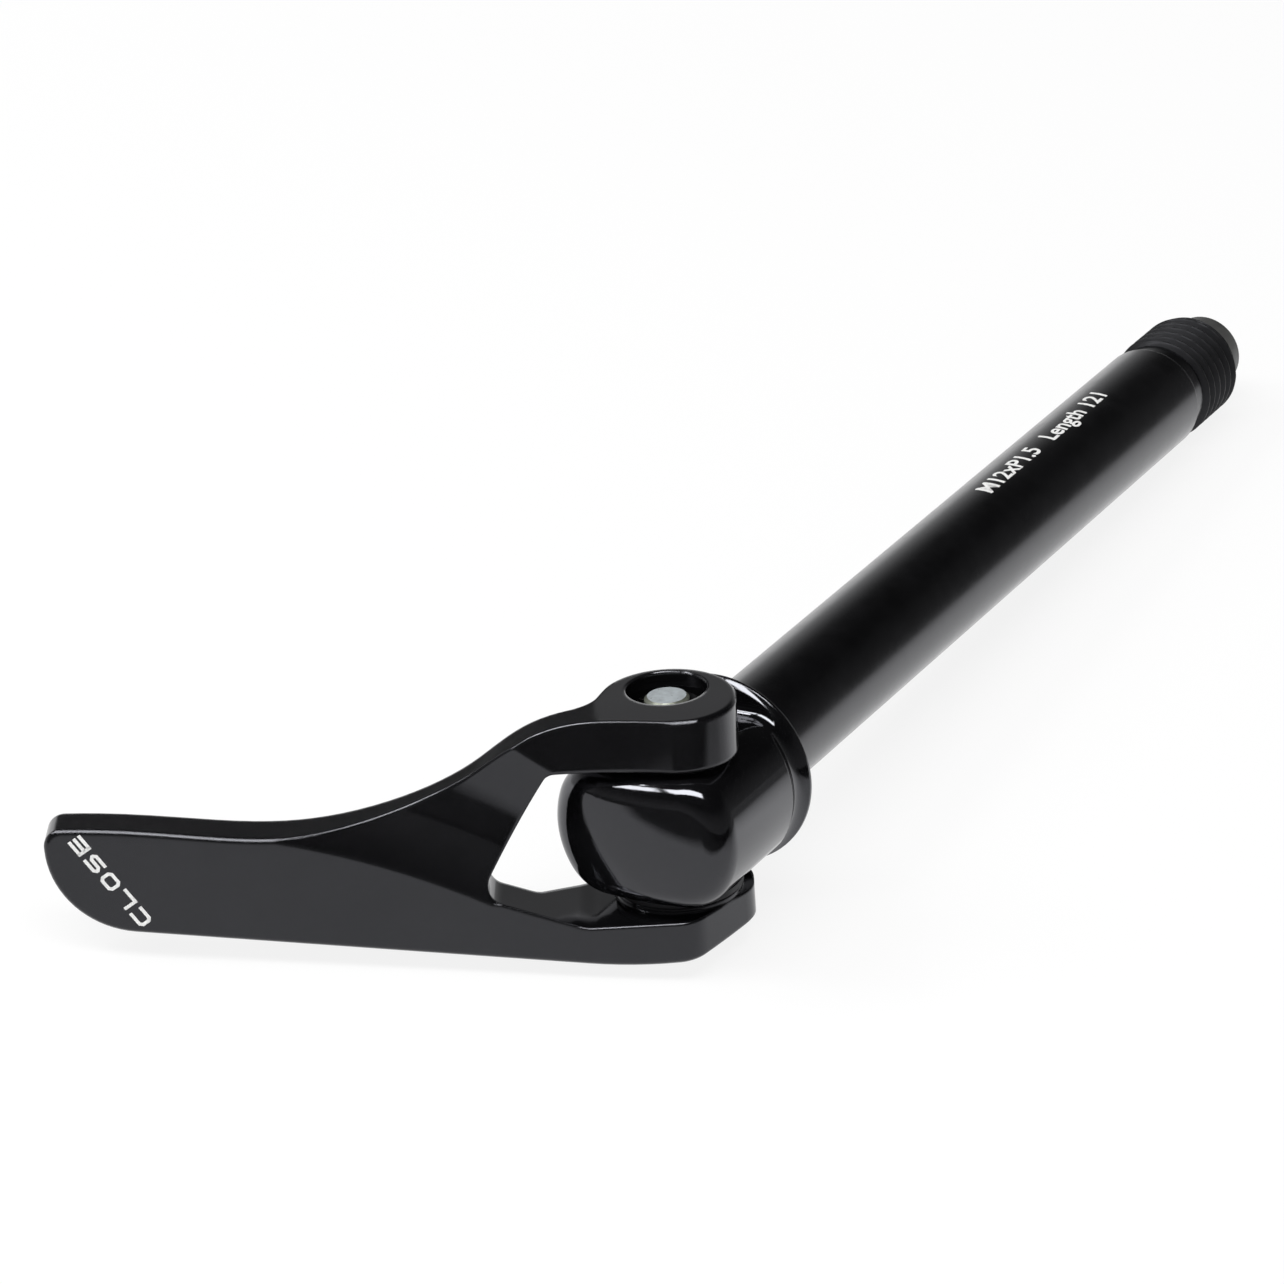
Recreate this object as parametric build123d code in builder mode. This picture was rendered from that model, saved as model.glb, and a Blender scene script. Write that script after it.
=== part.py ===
from build123d import *

import os
from math import acos, cos, degrees, radians, sin

# Front thru axle for a 12 x 100 mm bicycle hub, clamped by a folding cam lever.
# X runs along the shaft towards its threaded tip, Z along the cam axis.
# The origin is the centre of the flange face that seats against the fork.

# Axle shaft
axle_length = 121.0
shaft_diameter = 12.0
shaft_bore = 6.5
shaft_bore_start = 6.0
thread_length = 12.5
thread_end_chamfer = 1.0
thread_relief_width = 2.6
thread_relief_depth = 0.5
tongue_length = 15.6
tongue_diameter = 11.6
tongue_thickness = 7.8

# End plug pressed into the bore
nose_length = 4.0
nose_diameter = 8.6
nose_edge = 0.5
plug_stem_length = 5.0

# Head
cam_axis_setback = 10.05
head_reach = 9.2
barrel_diameter = 19.3
flange_lip = 0.3
flange_thickness = 1.1
flange_edge = 0.25
cove_radius = 2.2
cove_depth = 0.5
cove_setback = 2.3
dome_radius = 26.0
dome_edge = 3.0
upper_flat = 6.6
lower_flat = 7.3
head_flat_edge = 5.0
flat_run_out = 1.2
mouth_depth = 3.0
socket_end_wall = 2.2

# Cam shaft and what holds it
cam_throw = 0.7
lobe_diameter = 5.8
lower_journal = 7.6
upper_journal = 5.6
pin_diameter = 4.4
pin_end_chamfer = 0.3
pin_recess = 0.75
cam_head_diameter = 9.0
cam_head_thickness = 1.4
cam_head_recess = 0.3
drive_flats = 6.4
ring_thickness = 0.8
ring_outer = 6.8
ring_groove_depth = 0.4
ring_gap_angle = 70.0
washer_outer = 12.6
washer_thickness = 0.6

# Lever
lever_angle = 118.0
lever_reach = 60.2
arm_span = 25.2
front_face = 8.2
blade_thickness_root = 5.2
blade_thickness_tip = 4.2
upper_eye_radius = 6.7
upper_eye_lead = 1.9
upper_nib = 3.2
upper_nib_setback = 3.0
upper_nib_round = 5.3
upper_neck_reach = 7.6
upper_neck_round = 3.0
lower_eye_radius = 7.25
lower_eye_lead = -0.9
lower_nib = 1.4
lower_nib_setback = 7.2
lower_nib_round = 3.5
lower_neck_reach = 13.6
lower_neck_round = 1.5
heel_reach = 9.0
heel_height = -12.45
heel_end_height = -12.0
tip_low = -5.2
tip_high = 5.0
tip_slope = 0.02
tip_round = 9.2
tip_corner = 1.8
waist_share = 0.556
waist_height = 2.9
ramp_reach = 19.0
ramp_height = 7.55
shoulder_reach = 6.0
slot_top_reach = 11.7
slot_top_round = 1.4
slot_end_reach = 19.0
slot_end_height = -4.75
slot_end_round = 1.8
slot_low_reach = 9.0
slot_low_height = -8.6
slot_low_round = 4.0
boss_diameter = 12.4
scoop_radius = 80.0
scoop_setback = 3.4
scoop_crest = 4.65
scoop_width = 18.0
scoop_depth = 2.0
scoop_floor = -5.5
hollow_reach = 9.75
hollow_radius = 41.0
hollow_depth = 1.3
counterbore_diameter = 7.9
counterbore_depth = 2.6
lever_edge = 0.3

# Roll about the shaft that lays the lever's low edge on a level floor
lie_roll = -9.0

# Clearances
slide_clearance = 0.2
turn_clearance = 0.15
yoke_clearance = 0.25
face_play = 0.1

# Sizes that follow from those above
shaft_radius = shaft_diameter / 2
thread_end = axle_length - nose_length
thread_start = thread_end - thread_length
flange_diameter = barrel_diameter + 2 * flange_lip
head_end = -(cam_axis_setback + head_reach)
socket_end = head_end + socket_end_wall
arm_outer = arm_span / 2
upper_arm_inner = upper_flat + washer_thickness + face_play
lower_arm_inner = lower_flat + washer_thickness + face_play
pin_top = arm_outer - pin_recess
ring_seat = arm_outer - counterbore_depth
lobe_half = tongue_thickness / 2 + face_play
cam_head_seat = -arm_outer + cam_head_recess + cam_head_thickness
back_root = front_face - blade_thickness_root
back_taper = (blade_thickness_root - blade_thickness_tip) / lever_reach
waist_reach = waist_share * lever_reach
scoop_reach = lever_reach - scoop_setback
swing = radians(lever_angle)

# Planes of the cam axis and of the lever: its plan, and its front view seen from outside
cam_plane = Plane(origin=(-cam_axis_setback, 0, 0), x_dir=(cos(swing), sin(swing), 0), z_dir=(0, 0, 1))
front_plane = Plane(origin=(-cam_axis_setback, 0, 0), x_dir=cam_plane.x_dir, z_dir=-cam_plane.y_dir)

# Plane through the axis about which the scoop beside the lever's flat front is turned
scoop_plane = Plane(
    origin=front_plane.from_local_coords((scoop_reach, scoop_crest - scoop_radius, 0)),
    x_dir=(0, 0, 1),
    z_dir=-cam_plane.x_dir,
)

# The lobe points to the lever's front, so folding the lever draws the shaft into the head.
# The shaft's cross slot leads the lobe a little at rest, which evens its play over the swing.
yoke_lead = cam_throw / 10
yoke_x = -cam_axis_setback - cam_throw * sin(swing) + yoke_lead
yoke_width = lobe_diameter + 2 * yoke_clearance
yoke_length = lobe_diameter + 2 * (cam_throw + yoke_clearance)


# Axle shaft: a tube with a plain journal, a threaded end, and a flattened tongue inside the head
with BuildPart() as axle_shaft:
    with BuildSketch(Plane.XZ):
        with BuildLine():
            Polyline(
                (-tongue_length, 0),
                (-tongue_length, tongue_diameter / 2),
                (0, tongue_diameter / 2),
                (0, shaft_radius),
                (thread_start, shaft_radius),
                (thread_start, shaft_radius - thread_relief_depth),
                (thread_start + thread_relief_width, shaft_radius - thread_relief_depth),
                (thread_start + thread_relief_width, shaft_radius),
                (thread_end - thread_end_chamfer, shaft_radius),
                (thread_end, shaft_radius - thread_end_chamfer),
                (thread_end, 0),
                close=True,
            )
        make_face()
    revolve(axis=Axis.X)
    with BuildSketch(Plane.YZ.offset(-tongue_length)):
        Circle(shaft_radius)
        Rectangle(shaft_diameter, tongue_thickness, mode=Mode.SUBTRACT)
    extrude(amount=tongue_length - mouth_depth / 2, mode=Mode.SUBTRACT)
    with BuildSketch(Plane.XY.offset(-shaft_radius)):
        with Locations((yoke_x, 0)):
            SlotOverall(yoke_length, yoke_width, rotation=90)
    extrude(amount=shaft_diameter, mode=Mode.SUBTRACT)
    with BuildSketch(Plane.YZ.offset(shaft_bore_start)):
        Circle(shaft_bore / 2)
    extrude(amount=axle_length, mode=Mode.SUBTRACT)

# End plug: a pilot nose on a stem in the shaft's bore
with BuildPart() as end_plug:
    with BuildSketch(Plane.YZ.offset(thread_end)):
        Circle(nose_diameter / 2)
    extrude(amount=nose_length)
    chamfer(end_plug.faces().sort_by(Axis.X)[-1].edges(), nose_edge)
    with BuildSketch(Plane.YZ.offset(thread_end)):
        Circle(shaft_bore / 2)
    extrude(amount=-plug_stem_length)

# Head: a barrel with two flats for the lever's arms, a domed end, and a seat flange flared by a cove
with BuildPart() as head:
    with BuildSketch(Plane.YZ) as head_section:
        Circle(barrel_diameter / 2)
        with Locations((0, (upper_flat - lower_flat) / 2)):
            Rectangle(2 * barrel_diameter, upper_flat + lower_flat, mode=Mode.INTERSECT)
        fillet(head_section.vertices(), head_flat_edge)
    extrude(amount=head_end)
    with Locations((head_end + dome_radius, 0, 0)):
        Sphere(dome_radius, mode=Mode.INTERSECT)
    fillet(head.faces().sort_by(Axis.X)[0].edges(), dome_edge)
    with BuildSketch(Plane.YZ):
        Circle(flange_diameter / 2)
    extrude(amount=-flange_thickness)
    flange_back = head.faces().filter_by(Axis.X).sort_by_distance((-flange_thickness, 0, upper_flat))[0]
    fillet(flange_back.edges().filter_by(Axis.Y), flat_run_out)
    with BuildSketch(Plane.XZ):
        with Locations((-cove_setback, barrel_diameter / 2 - cove_depth + cove_radius)):
            Circle(cove_radius)
    revolve(axis=Axis.X, mode=Mode.SUBTRACT)
    seat = head.faces().filter_by(Axis.X).sort_by(Axis.X)[-1]
    chamfer(seat.edges(), flange_edge)
    with BuildSketch(Plane.YZ):
        Circle(shaft_radius + slide_clearance)
    extrude(amount=-mouth_depth, mode=Mode.SUBTRACT)
    with BuildSketch(Plane.YZ):
        Circle(tongue_diameter / 2 + slide_clearance)
        Rectangle(flange_diameter, tongue_thickness + 2 * slide_clearance, mode=Mode.INTERSECT)
    extrude(amount=socket_end, mode=Mode.SUBTRACT)
    with BuildSketch(cam_plane):
        Circle(upper_journal / 2 + turn_clearance)
    extrude(amount=arm_outer, mode=Mode.SUBTRACT)
    with BuildSketch(cam_plane):
        Circle(lower_journal / 2 + turn_clearance)
    extrude(amount=-arm_outer, mode=Mode.SUBTRACT)

# Scoop above the lever's flat front: a shallow trough turned about an axis square to that front
with BuildPart() as scoop:
    with BuildSketch(scoop_plane):
        with BuildLine():
            scoop_arc = ThreePointArc(
                (scoop_radius, front_face),
                (scoop_radius + scoop_width / 2, front_face - scoop_depth),
                (scoop_radius + scoop_width, front_face),
            )
            Polyline(
                scoop_arc @ 1,
                (scoop_radius + scoop_width, 2 * front_face),
                (scoop_radius, 2 * front_face),
                scoop_arc @ 0,
            )
        make_face()
    revolve(axis=Axis(scoop_plane.origin, scoop_plane.y_dir))
    split(bisect_by=Plane.XY.offset(scoop_floor), keep=Keep.TOP)

# Lever: one forging, a flat blade that forks into two arms with an eye at the end of each.
# It is the plan's sweep through the front outline, slotted, then scooped above the flat front.
with BuildPart() as lever:
    for side, eye_radius, eye_lead, nib_reach, nib_setback, nib_round, neck_reach, neck_round in (
        (
            1,
            upper_eye_radius,
            upper_eye_lead,
            upper_nib,
            upper_nib_setback,
            upper_nib_round,
            upper_neck_reach,
            upper_neck_round,
        ),
        (
            -1,
            lower_eye_radius,
            lower_eye_lead,
            lower_nib,
            lower_nib_setback,
            lower_nib_round,
            lower_neck_reach,
            lower_neck_round,
        ),
    ):
        neck = Vector(neck_reach, back_root + neck_reach * back_taper)
        eye = Vector(0, eye_lead)
        flank_turn = degrees(acos(eye_radius / (neck - eye).length))
        flank_foot = eye + (neck - eye).normalized().rotate(Axis.Z, -flank_turn) * eye_radius
        with BuildSketch(cam_plane) as lever_plan:
            with BuildLine():
                front_line = Line((lever_reach, front_face), (-nib_reach, front_face))
                nib = Line(front_line @ 1, (-eye_radius, front_face - nib_setback))
                end_line = Line(nib @ 1, (-eye_radius, eye_lead))
                ThreePointArc(end_line @ 1, (0, eye_lead - eye_radius), flank_foot)
                flank = Line(flank_foot, neck)
                Polyline(flank @ 1, (lever_reach, front_face - blade_thickness_tip), front_line @ 0)
            make_face()
            fillet(lever_plan.vertices().sort_by_distance(flank @ 1)[0], neck_round)
            fillet(lever_plan.vertices().sort_by_distance(nib @ 0)[0], nib_round)
            fillet(lever_plan.vertices().sort_by_distance(nib @ 1)[0], nib_round)
        extrude(amount=side * arm_span)

    with BuildSketch(front_plane.offset(-2 * front_face)) as lever_front:
        with BuildLine():
            low_edge = Line((lever_reach, tip_low), (heel_reach, heel_height))
            heel = TangentArc(low_edge @ 1, (-lower_eye_radius, heel_end_height), tangent=low_edge % 1)
            tip_edge = Line(low_edge @ 0, (lever_reach, tip_high))
            top_edge = Spline(
                tip_edge @ 1,
                (waist_reach, waist_height),
                (ramp_reach, ramp_height),
                (shoulder_reach, arm_outer),
                tangents=((-1, -tip_slope), (-1, 0)),
            )
            Polyline(top_edge @ 1, (-lower_eye_radius, arm_outer), heel @ 1)
        make_face()
        fillet(lever_front.vertices().sort_by_distance(tip_edge @ 0)[0], tip_round)
        fillet(lever_front.vertices().sort_by_distance(tip_edge @ 1)[0], tip_corner)
    extrude(amount=4 * front_face, mode=Mode.INTERSECT)
    low_middle = (low_edge @ 0.5) - (0, 0, front_face - blade_thickness_tip / 2)
    low_face = lever.faces().sort_by_distance(front_plane.from_local_coords(low_middle))[0]
    chamfer(low_face.edges(), lever_edge)

    with BuildSketch(front_plane.offset(-2 * front_face)) as slot:
        with BuildLine():
            Polyline(
                (-2 * lower_eye_radius, upper_arm_inner),
                (slot_top_reach, upper_arm_inner),
                (slot_end_reach, slot_end_height),
                (slot_low_reach, slot_low_height),
                (-2 * lower_eye_radius, slot_low_height),
                close=True,
            )
        make_face()
        for reach, height, rounding in (
            (slot_top_reach, upper_arm_inner, slot_top_round),
            (slot_end_reach, slot_end_height, slot_end_round),
            (slot_low_reach, slot_low_height, slot_low_round),
        ):
            fillet(slot.vertices().sort_by_distance((reach, height))[0], rounding)
    extrude(amount=4 * front_face, mode=Mode.SUBTRACT)

    with BuildSketch(cam_plane):
        with Locations((hollow_reach, front_face - hollow_depth + hollow_radius)):
            Circle(hollow_radius)
    extrude(amount=arm_span, mode=Mode.SUBTRACT)
    add(scoop.part, mode=Mode.SUBTRACT)

    with BuildSketch(cam_plane.offset(-lower_arm_inner)):
        Circle(boss_diameter / 2)
    extrude(amount=lower_arm_inner + slot_low_height)
    with BuildSketch(cam_plane):
        Circle(pin_diameter / 2)
    extrude(amount=arm_outer, mode=Mode.SUBTRACT)
    with BuildSketch(cam_plane.offset(ring_seat)):
        Circle(counterbore_diameter / 2)
    extrude(amount=arm_outer, mode=Mode.SUBTRACT)
    with BuildSketch(cam_plane):
        Circle(lower_journal / 2)
        Rectangle(drive_flats, 2 * lower_journal, mode=Mode.INTERSECT)
    extrude(amount=-arm_outer, mode=Mode.SUBTRACT)
    with BuildSketch(cam_plane.offset(cam_head_seat)):
        Circle(cam_head_diameter / 2)
    extrude(amount=-arm_outer, mode=Mode.SUBTRACT)

# Cam shaft: turned steel, a head below, a lower journal with drive flats in the arm, the eccentric lobe,
# and an upper journal that steps down to the pin whose chamfered end shows in the counterbore
with BuildPart() as cam_shaft:
    for low, high, diameter in (
        (cam_head_seat - cam_head_thickness, cam_head_seat, cam_head_diameter),
        (-lower_arm_inner, -lobe_half, lower_journal),
        (lobe_half, upper_arm_inner - face_play, upper_journal),
        (upper_arm_inner - face_play, ring_seat, pin_diameter),
        (ring_seat, ring_seat + ring_thickness, pin_diameter - 2 * ring_groove_depth),
        (ring_seat + ring_thickness, pin_top, pin_diameter),
    ):
        with BuildSketch(cam_plane.offset(low)):
            Circle(diameter / 2)
        extrude(amount=high - low)
    with BuildSketch(cam_plane.offset(cam_head_seat)):
        Circle(lower_journal / 2)
        Rectangle(drive_flats, 2 * lower_journal, mode=Mode.INTERSECT)
    extrude(amount=-lower_arm_inner - cam_head_seat)
    with BuildSketch(cam_plane.offset(-lobe_half)):
        with Locations((0, cam_throw)):
            Circle(lobe_diameter / 2)
    extrude(amount=2 * lobe_half)
    chamfer(cam_shaft.faces().sort_by(Axis.Z)[-1].edges(), pin_end_chamfer)

# Retaining ring: an open spring ring in the pin's groove, on the floor of the counterbore
with BuildPart() as retaining_ring:
    with BuildSketch(cam_plane.offset(ring_seat)):
        Circle(ring_outer / 2)
        Circle(pin_diameter / 2 - ring_groove_depth, mode=Mode.SUBTRACT)
        with BuildLine():
            gap_side = PolarLine((0, 0), ring_outer, -ring_gap_angle / 2)
            Polyline(gap_side @ 1, (gap_side @ 1).rotate(Axis.Z, ring_gap_angle), gap_side @ 0)
        make_face(mode=Mode.SUBTRACT)
    extrude(amount=ring_thickness)

# Thrust washers between the head's flats and the arms
thrust_washers = []
for side, flat, journal in ((1, upper_flat, upper_journal), (-1, lower_flat, lower_journal)):
    with BuildPart() as thrust_washer:
        with BuildSketch(cam_plane.offset(side * flat)):
            Circle(washer_outer / 2)
            Circle(journal / 2 + turn_clearance, mode=Mode.SUBTRACT)
        extrude(amount=side * washer_thickness)
    thrust_washers.append(thrust_washer)
upper_thrust_washer, lower_thrust_washer = thrust_washers

os.makedirs("parts", exist_ok=True)
for name, piece in (
    ("axle_shaft", axle_shaft),
    ("end_plug", end_plug),
    ("head", head),
    ("lever", lever),
    ("cam_shaft", cam_shaft),
    ("retaining_ring", retaining_ring),
    ("upper_thrust_washer", upper_thrust_washer),
    ("lower_thrust_washer", lower_thrust_washer),
):
    lying = piece.part.rotate(Axis.X, lie_roll)
    lying.label = name
    export_step(lying, f"parts/{name}.step")
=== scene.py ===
import logging
from dataclasses import dataclass
from enum import Enum
from math import atan2, cos, hypot, radians, sin, tau

import bmesh
import bpy
from mathutils import Matrix, Vector


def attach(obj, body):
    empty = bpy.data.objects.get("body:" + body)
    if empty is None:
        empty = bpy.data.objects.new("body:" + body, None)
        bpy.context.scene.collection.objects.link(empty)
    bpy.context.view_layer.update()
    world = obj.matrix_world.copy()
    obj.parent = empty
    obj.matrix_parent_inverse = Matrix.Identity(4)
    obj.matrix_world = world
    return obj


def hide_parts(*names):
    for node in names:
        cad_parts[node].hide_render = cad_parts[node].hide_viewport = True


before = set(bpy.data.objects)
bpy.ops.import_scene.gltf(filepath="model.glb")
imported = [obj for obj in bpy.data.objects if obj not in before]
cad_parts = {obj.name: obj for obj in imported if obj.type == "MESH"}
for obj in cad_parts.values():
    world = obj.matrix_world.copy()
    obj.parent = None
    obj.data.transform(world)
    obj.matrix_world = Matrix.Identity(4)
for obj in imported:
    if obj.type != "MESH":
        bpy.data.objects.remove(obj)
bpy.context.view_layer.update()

LOG = logging.getLogger("thru_axle")
MM = 0.001
LIE_ROLL = Matrix.Rotation(radians(-9.0), 4, "X")
SQUARE = ((-1, -1), (1, -1), (1, 1), (-1, 1))
NOISE_LOW = 0.3
NOISE_HIGH = 0.7


class Body(Enum):
    """The moving bodies that new pieces ride on, by their names in the record."""

    SHAFT = "shaft_body"
    LEVER = "lever_body"


class Mark(Enum):
    """The words and sizes printed on the part."""

    CLOSING = "CLOSE"
    SIZES = "M12xP1.5   Length 121"


class Bench:
    """A new node material with short ways to add and join its nodes.

    Attributes:
        EDGE_TURN: How well a rounded normal agrees with the true one, on an edge and on a face.
        EDGE_SAMPLES: The samples that find a rounded normal.
        material: The material.
        tree: Its nodes.
        shader: Its main shader.
        place: The shaded point, in the object's own frame.
    """

    EDGE_TURN = (0.75, 0.98)
    EDGE_SAMPLES = 8

    def __init__(self, name: str) -> None:
        """Makes the material and keeps its shader.

        Args:
            name: The material's name.
        """
        self.material = bpy.data.materials.new(name)
        self.material.use_nodes = True
        self.tree = self.material.node_tree
        self.shader = self.tree.nodes["Principled BSDF"]
        self.place = self.add("ShaderNodeTexCoord").outputs["Object"]

    def add(self, kind: str, **settings: object) -> bpy.types.Node:
        """Adds a node.

        Args:
            kind: The node's type name.
            settings: The node's own properties.

        Returns:
            The new node.
        """
        node = self.tree.nodes.new(kind)
        for key, value in settings.items():
            setattr(node, key, value)
        return node

    def join(self, source: bpy.types.NodeSocket, target: bpy.types.NodeSocket) -> None:
        """Links an output to an input.

        Args:
            source: The output.
            target: The input.
        """
        self.tree.links.new(source, target)

    def math(
        self, operation: str, first: bpy.types.NodeSocket, second: bpy.types.NodeSocket
    ) -> bpy.types.NodeSocket:
        """Works out one value from two.

        Args:
            operation: The operation's name.
            first: The first value.
            second: The second value.

        Returns:
            The new value.
        """
        node = self.add("ShaderNodeMath", operation=operation)
        self.join(first, node.inputs[0])
        self.join(second, node.inputs[1])
        return node.outputs[0]

    def reach(self, axis: Vector) -> bpy.types.NodeSocket:
        """Measures how far a point lies along an axis.

        Args:
            axis: The axis, of length 1.

        Returns:
            The distance from the origin, in metres.
        """
        dot = self.add("ShaderNodeVectorMath", operation="DOT_PRODUCT")
        self.join(self.place, dot.inputs[0])
        dot.inputs[1].default_value = axis
        return dot.outputs["Value"]

    def noise(
        self, grain: float, detail: float = 3.0, stretch: Vector = Vector((1, 1, 1))
    ) -> bpy.types.NodeSocket:
        """Adds noise whose blotches have a real size.

        Args:
            grain: The size of a blotch, in metres.
            detail: The noise's octaves.
            stretch: How much finer the noise is along each axis.

        Returns:
            The noise's value, about NOISE_LOW to NOISE_HIGH.
        """
        scale = self.add("ShaderNodeVectorMath", operation="MULTIPLY")
        self.join(self.place, scale.inputs[0])
        scale.inputs[1].default_value = stretch / grain
        noise = self.add("ShaderNodeTexNoise")
        self.join(scale.outputs[0], noise.inputs["Vector"])
        noise.inputs["Scale"].default_value = 1.0
        noise.inputs["Detail"].default_value = detail
        return noise.outputs["Fac"]

    def spread(
        self,
        value: bpy.types.NodeSocket,
        low: float,
        high: float,
        start: float = NOISE_LOW,
        end: float = NOISE_HIGH,
    ) -> bpy.types.NodeSocket:
        """Maps a value onto a new range.

        Args:
            value: What is mapped.
            low: The result at start.
            high: The result at end.
            start: The value that gives low.
            end: The value that gives high.

        Returns:
            The mapped value.
        """
        mapping = self.add("ShaderNodeMapRange")
        self.join(value, mapping.inputs["Value"])
        mapping.inputs["From Min"].default_value = start
        mapping.inputs["From Max"].default_value = end
        mapping.inputs["To Min"].default_value = low
        mapping.inputs["To Max"].default_value = high
        return mapping.outputs["Result"]

    def tint(
        self, share: bpy.types.NodeSocket, first: tuple[float, ...], second: tuple[float, ...]
    ) -> bpy.types.NodeSocket:
        """Mixes two colours.

        Args:
            share: How much of the second colour there is.
            first: The colour at a share of 0.
            second: The colour at a share of 1.

        Returns:
            The mixed colour.
        """
        mix = self.add("ShaderNodeMix", data_type="RGBA")
        self.join(share, mix.inputs["Factor"])
        mix.inputs["A"].default_value = (*first, 1)
        mix.inputs["B"].default_value = (*second, 1)
        return mix.outputs["Result"]

    def rounded(self, radius: float) -> bpy.types.NodeSocket:
        """Adds a normal that rounds sharp edges.

        Args:
            radius: The edges' radius, in metres.

        Returns:
            The rounded normal.
        """
        bevel = self.add("ShaderNodeBevel", samples=self.EDGE_SAMPLES)
        bevel.inputs["Radius"].default_value = radius
        return bevel.outputs["Normal"]

    def edges(self, normal: bpy.types.NodeSocket) -> bpy.types.NodeSocket:
        """Finds the edges that a rounded normal turns over.

        Args:
            normal: The rounded normal.

        Returns:
            A value from 0 on a face to 1 on an edge.
        """
        true_normal = self.add("ShaderNodeNewGeometry").outputs["Normal"]
        dot = self.add("ShaderNodeVectorMath", operation="DOT_PRODUCT")
        self.join(normal, dot.inputs[0])
        self.join(true_normal, dot.inputs[1])
        return self.spread(dot.outputs["Value"], 1.0, 0.0, *self.EDGE_TURN)

    def bump(
        self,
        height: bpy.types.NodeSocket,
        depth: float,
        strength: float,
        normal: bpy.types.NodeSocket,
    ) -> None:
        """Bumps the surface.

        Args:
            height: The bump's height, 0 to 1.
            depth: The bump's depth, in metres.
            strength: The bump's strength, 0 to 1.
            normal: The normal that the bump starts from.
        """
        bump = self.add("ShaderNodeBump")
        bump.inputs["Strength"].default_value = strength
        bump.inputs["Distance"].default_value = depth
        self.join(height, bump.inputs["Height"])
        self.join(normal, bump.inputs["Normal"])
        self.join(bump.outputs["Normal"], self.shader.inputs["Normal"])


@dataclass(frozen=True)
class BlackFinish:
    """A black surface: anodised, painted, oxidised or moulded.

    Attributes:
        name: The material's name.
        deep: The colour in the surface's darker blotches.
        pale: The colour in its paler blotches.
        worn: The colour along its edges.
        smooth: The roughness where it is smoothest.
        rough: The roughness where it is roughest.
        grain: The size of the fine bumps, in metres.
        depth: The depth of the fine bumps, in metres.
        edge: The radius that the eye sees on sharp edges, in metres.
        gloss: The strength of the surface's reflections.
        index: The refractive index of the surface's clear skin.
        metallic: The metal share of the surface.
        cast: The faint tint of the surface's reflections.
        lines: How much finer the grain is along each axis.
        blotch: The size of the colour's blotches, in metres.
        haze: The size of the roughness's blotches, in metres.
        bumps: The strength of the fine bumps.
    """

    name: str
    deep: tuple[float, float, float]
    pale: tuple[float, float, float]
    worn: tuple[float, float, float]
    smooth: float
    rough: float
    grain: float
    depth: float
    edge: float
    gloss: float = 0.5
    index: float = 1.5
    metallic: float = 0.0
    cast: tuple[float, float, float] = (0.92, 0.93, 1.0)
    lines: tuple[float, float, float] = (1.0, 1.0, 1.0)
    blotch: float = 6 * MM
    haze: float = 2 * MM
    bumps: float = 0.6

    def material(self) -> bpy.types.Material:
        """Makes the finish's material.

        Returns:
            The material, with its blotches, grain and edges.
        """
        bench = Bench(self.name)
        normal = bench.rounded(self.edge)
        body = bench.tint(bench.spread(bench.noise(self.blotch), 0, 1), self.deep, self.pale)
        wear = bench.add("ShaderNodeMix", data_type="RGBA")
        bench.join(bench.edges(normal), wear.inputs["Factor"])
        bench.join(body, wear.inputs["A"])
        wear.inputs["B"].default_value = (*self.worn, 1)
        bench.join(wear.outputs["Result"], bench.shader.inputs["Base Color"])
        haze = bench.spread(bench.noise(self.haze, detail=5), self.smooth, self.rough)
        bench.join(haze, bench.shader.inputs["Roughness"])
        bench.shader.inputs["Specular IOR Level"].default_value = self.gloss
        bench.shader.inputs["Specular Tint"].default_value = (*self.cast, 1)
        bench.shader.inputs["IOR"].default_value = self.index
        bench.shader.inputs["Metallic"].default_value = self.metallic
        grain = bench.noise(self.grain, detail=2, stretch=Vector(self.lines))
        bench.bump(grain, self.depth, self.bumps, normal)
        return bench.material


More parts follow.
